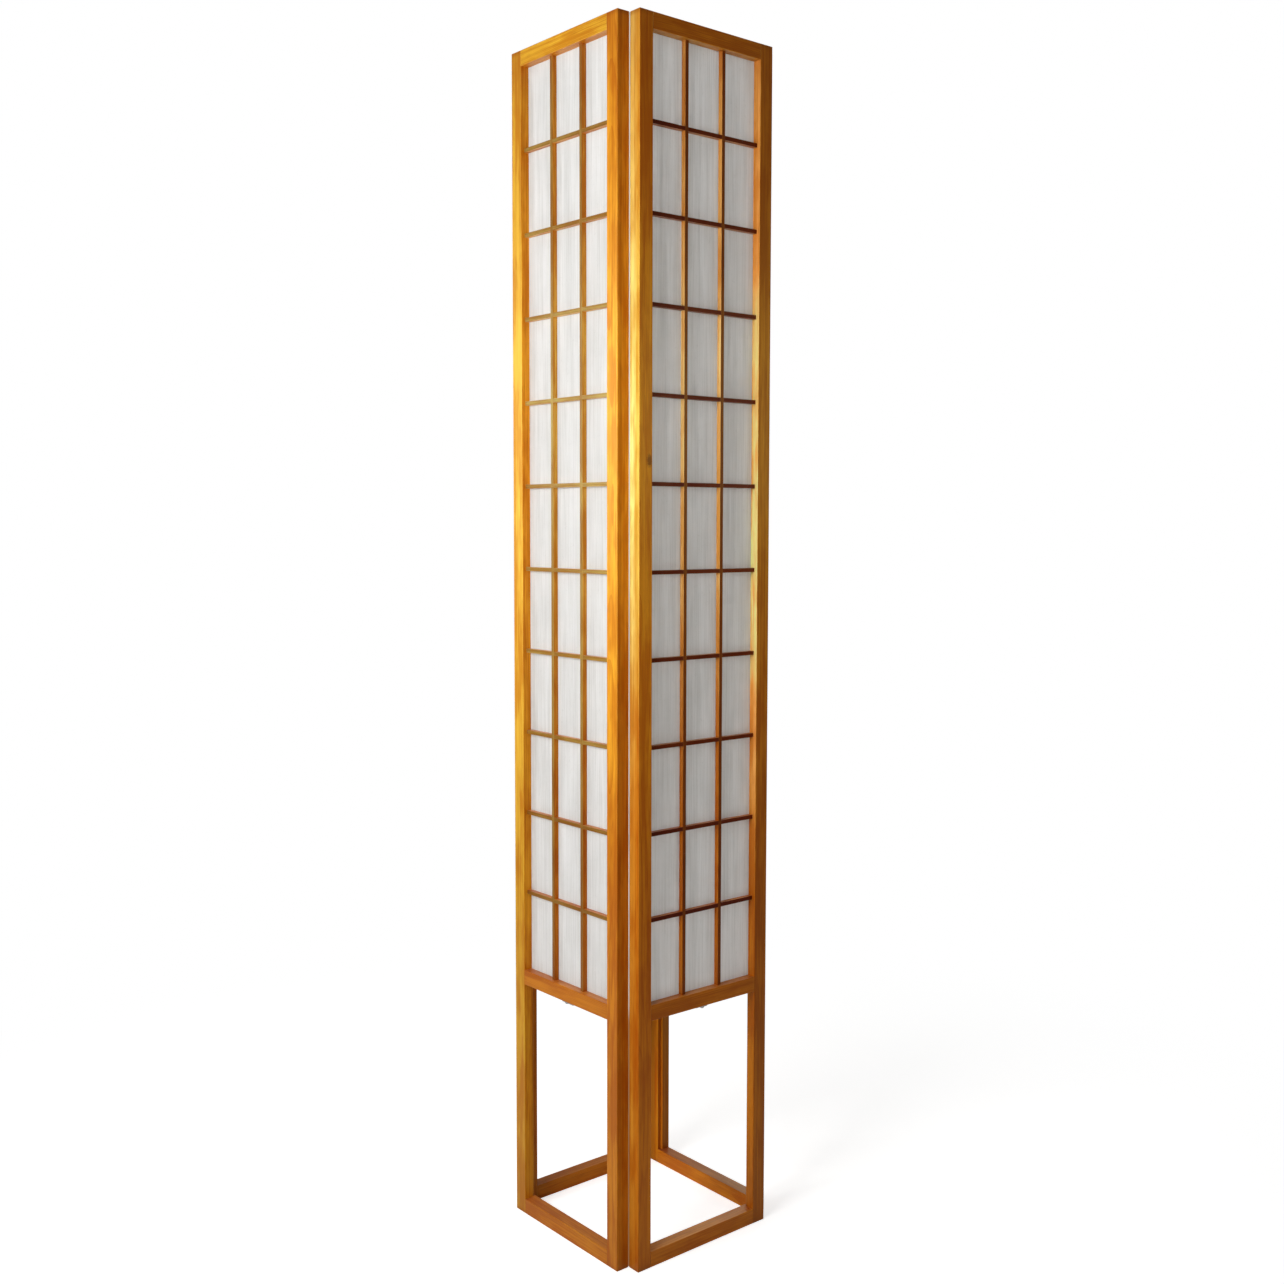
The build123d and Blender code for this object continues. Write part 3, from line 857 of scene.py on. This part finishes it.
def dull_metal(name, clean, dull, patch_scale, dust_amount):
    """A metal with dull patches, fine scratches, bright edges and some dust."""
    material, tree, surface = start_material(name)
    where = add(tree, "TexCoord").outputs["Object"]
    clean, dull = (*clean, 1.0), (*dull, 1.0)
    sockets = {"Vector": where, "Clean": clean, "Dull": dull, "Patch Scale": patch_scale}
    metal = place_group(tree, metal_group, sockets)
    edge = place_group(tree, edge_group, {"Vector": where, "Amount": 0.7})["Edge"]
    dust = place_group(tree, dust_group, {"Vector": where, "Amount": dust_amount})["Dust"]
    colour = mix(tree, edge, metal["Colour"], clean)
    colour = mix(tree, dust, colour, metal_dust)
    bump = add(tree, "Bump", {"Height": metal["Height"], "Strength": 0.15, "Distance": 0.0001})
    finish = {
        "Base Color": colour,
        "Roughness": calc(tree, "ADD", metal["Roughness"], dust, clamp=True),
        "Metallic": calc(tree, "SUBTRACT", 1.0, dust, clamp=True),
        "Normal": bump.outputs["Normal"],
    }
    wire(tree, surface, finish)
    return material


dull_brass = dull_metal("dull_brass", (0.78, 0.58, 0.26), (0.42, 0.27, 0.10), 220.0, 0.1)
zinc_plate = dull_metal("zinc_plate", (0.68, 0.69, 0.68), (0.42, 0.42, 0.40), 120.0, 0.45)
cap_metal = dull_metal("cap_metal", (0.82, 0.82, 0.81), (0.60, 0.60, 0.59), 300.0, 0.1)

for panel in panels:
    for kind in ("hinge_leaves", "hinge_screws", "hinge_pins"):
        if f"{panel}_{kind}" in nodes:
            give(f"{panel}_{kind}", dull_brass)
    give(f"{panel}_pintle_plate", zinc_plate)
    give(f"{panel}_plate_screw", zinc_plate)
for name in ("front_to_back_strap", "side_to_side_strap", "stem_pipe", "stem_nuts"):
    give(name, zinc_plate)
give("bulb_cap", cap_metal)
print("metal finishes:", dull_brass.name, zinc_plate.name, cap_metal.name)

# %% [markdown]
# ## Lampholder and bulb
# The lampholder is black moulded plastic with a very fine grain from its mould and paler edges.
# The bulb is frosted on the inside: it lets light through, but nothing can be seen in it.
# Transmission with a high roughness does that, and a faint mottle keeps it from looking like milk.

# %% Finish the lampholder
deep_black, worn_black = (0.018, 0.017, 0.016, 1.0), (0.032, 0.030, 0.028, 1.0)
black_edge = (0.06, 0.057, 0.052, 1.0)
holder_dust = (0.40, 0.37, 0.33, 1.0)

holder_plastic, tree, surface = start_material("holder_plastic")
where = add(tree, "TexCoord").outputs["Object"]
mould = noise(tree, where, scale=2600.0, detail=2.0)
smear = noise(tree, where, scale=90.0, detail=3.0)
edge = place_group(tree, edge_group, {"Vector": where, "Amount": 0.6})["Edge"]
dust = place_group(tree, dust_group, {"Vector": where, "Amount": 0.5})["Dust"]
black = mix(tree, remap(tree, smear, 0.3, 0.7), deep_black, worn_black)
black = mix(tree, edge, black, black_edge)
black = mix(tree, dust, black, holder_dust)
roughness = remap(tree, smear, 0.3, 0.7, 0.38, 0.55)
bump = add(tree, "Bump", {"Height": mould, "Strength": 0.2, "Distance": 0.0001})
normal = bump.outputs["Normal"]
wire(tree, surface, {"Base Color": black, "Roughness": roughness, "Normal": normal})
give("lampholder_cup", holder_plastic)
give("lampholder_barrel", holder_plastic)
print("lampholder finished in", holder_plastic.name)

# %% Finish the bulb
bright_frost, dim_frost = (0.90, 0.90, 0.88, 1.0), (0.84, 0.84, 0.83, 1.0)

frosted_glass, tree, surface = start_material("frosted_glass")
where = add(tree, "TexCoord").outputs["Object"]
mottle = noise(tree, where, scale=180.0, detail=3.0)
frost = mix(tree, remap(tree, mottle, 0.3, 0.7), bright_frost, dim_frost)
roughness = remap(tree, mottle, 0.3, 0.7, 0.42, 0.55)
wire(tree, surface, {"Base Color": frost, "Roughness": roughness})
wire(tree, surface, {"Transmission Weight": 0.35, "IOR": 1.5})
give("bulb_glass", frosted_glass)
print("bulb finished in", frosted_glass.name)

# %% [markdown]
# ## Floor and surroundings
# The lamp stands on a plain pale floor that has no visible end. A wall would be in the way when the
# camera goes round, so the floor is a wide disc that fades to the colour of the surroundings. The
# fading is done only for rays that come from the camera or through the paper and the glass. All
# other light, and what the lacquer mirrors, meets an ordinary pale floor and an even grey sky, so
# the lamp's colours stay as they are written, and the floor keeps the lamp's shadow.

# %% Tell the rays that see white
white = (1.0, 1.0, 1.0, 1.0)


def seen_rays(tree):
    """1 for rays from the camera or through the paper and the glass, and 0 for the rest."""
    path = add(tree, "LightPath").outputs
    return calc(tree, "ADD", path["Is Camera Ray"], path["Is Transmission Ray"], clamp=True)


print("rays from the camera and through the paper see white surroundings")

# %% Make the floor
floor_radius = 40.0
floor_sides = 96
fade_start, fade_end = 0.4, 1.6
floor_lift = 0.64
pale_ground, dim_ground = (0.84, 0.84, 0.83, 1.0), (0.82, 0.82, 0.81, 1.0)

floor_mesh = bpy.data.meshes.new("floor")
turns = [2 * math.pi * side / floor_sides for side in range(floor_sides)]
rim = [(floor_radius * math.cos(angle), floor_radius * math.sin(angle), 0.0) for angle in turns]
floor_mesh.from_pydata(rim, [], [tuple(range(floor_sides))])
floor = bpy.data.objects.new("floor", floor_mesh)
scene.collection.objects.link(floor)
floor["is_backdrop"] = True

pale_floor, tree, surface = start_material("pale_floor")
where = add(tree, "TexCoord").outputs["Object"]
mottle = noise(tree, where, scale=3.0, detail=5.0)
ground = mix(tree, remap(tree, mottle, 0.3, 0.7), pale_ground, dim_ground)
wire(tree, surface, {"Base Color": ground, "Roughness": 0.9, "Specular IOR Level": 0.0})
away = length_of(tree, where)
fade = calc(tree, "MULTIPLY", remap(tree, away, fade_start, fade_end), seen_rays(tree))
far = add(tree, "Emission", {"Color": white, "Strength": 1.0})
lift = add(tree, "Emission", {"Color": white, "Strength": floor_lift})
lifted = add(tree, "AddShader", {0: surface.outputs[0], 1: lift.outputs[0]})
shaders = {0: seen_rays(tree), 1: surface.outputs[0], 2: lifted.outputs[0]}
near = add(tree, "MixShader", shaders)
whole = add(tree, "MixShader", {0: fade, 1: near.outputs[0], 2: far.outputs[0]})
wire(tree, tree.nodes["Material Output"], {"Surface": whole.outputs[0]})
floor_mesh.materials.append(pale_floor)
print("floor fades out between", fade_start, "and", fade_end, "m")

# %% Make the sky
sky_level = 0.16

sky = bpy.data.worlds.new("sky")
sky.use_nodes = True
tree = sky.node_tree
even = add(tree, "Background", {"Color": white, "Strength": sky_level})
bright = add(tree, "Background", {"Color": white, "Strength": 1.0})
either = add(tree, "MixShader", {0: seen_rays(tree), 1: even.outputs[0], 2: bright.outputs[0]})
wire(tree, tree.nodes["World Output"], {"Surface": either.outputs[0]})
scene.world = sky
print("sky gives the lamp a level of", sky_level)

# %% [markdown]
# ## Light
# The key box stands in front of the lamp, a little above the middle of the shade. It lights the
# front panel and only grazes the right one. The sheen box, at the left, draws a long highlight on
# the lacquer, and the small back box gives the far edges a rim. The fill box keeps the two rear
# panels readable and the top box does the same for whatever faces up. Their size sets how soft the
# sheen is, and their power how bright the pale paper becomes, which has to stay just under white.

# %% Hang the lights


def soft_box(name, place, target, size, power):
    """A rectangular area light that faces a point. Its size is its width and height."""
    light = bpy.data.lights.new(name, "AREA")
    light.shape = "RECTANGLE"
    light.size, light.size_y = size
    light.energy = power
    lamp = bpy.data.objects.new(name, light)
    lamp.location = place
    facing = Vector(target) - Vector(place)
    lamp.rotation_euler = facing.to_track_quat("-Z", "Y").to_euler()
    scene.collection.objects.link(lamp)


shade_middle = (0.0, 0.0, 1.15)
near_shade, far_shade = (0.0, -0.15, 1.25), (0.15, 0.0, 1.25)
soft_box("key_box", (0.32, -1.62, 1.36), shade_middle, size=(1.0, 0.8), power=26.0)
soft_box("sheen_box", (-1.42, -1.58, 1.39), near_shade, size=(0.7, 0.7), power=9.0)
soft_box("back_box", (2.0, 1.55, 1.42), far_shade, size=(0.5, 0.6), power=3.5)
soft_box("fill_box", (-1.30, 2.00, 1.60), shade_middle, size=(1.2, 1.0), power=9.0)
soft_box("top_box", (0.0, 0.0, 3.40), shade_middle, size=(0.8, 0.8), power=6.0)
scene.view_settings.view_transform = "Standard"

# %% [markdown]
# ## Measure the dressed lamp
# The finished lamp may not outgrow its solids, so its box before and after dressing is printed.

# %% Measure the dressed lamp
low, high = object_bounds()
print("dressed lamp measures", [round(side / mm, 1) for side in high - low], "mm")
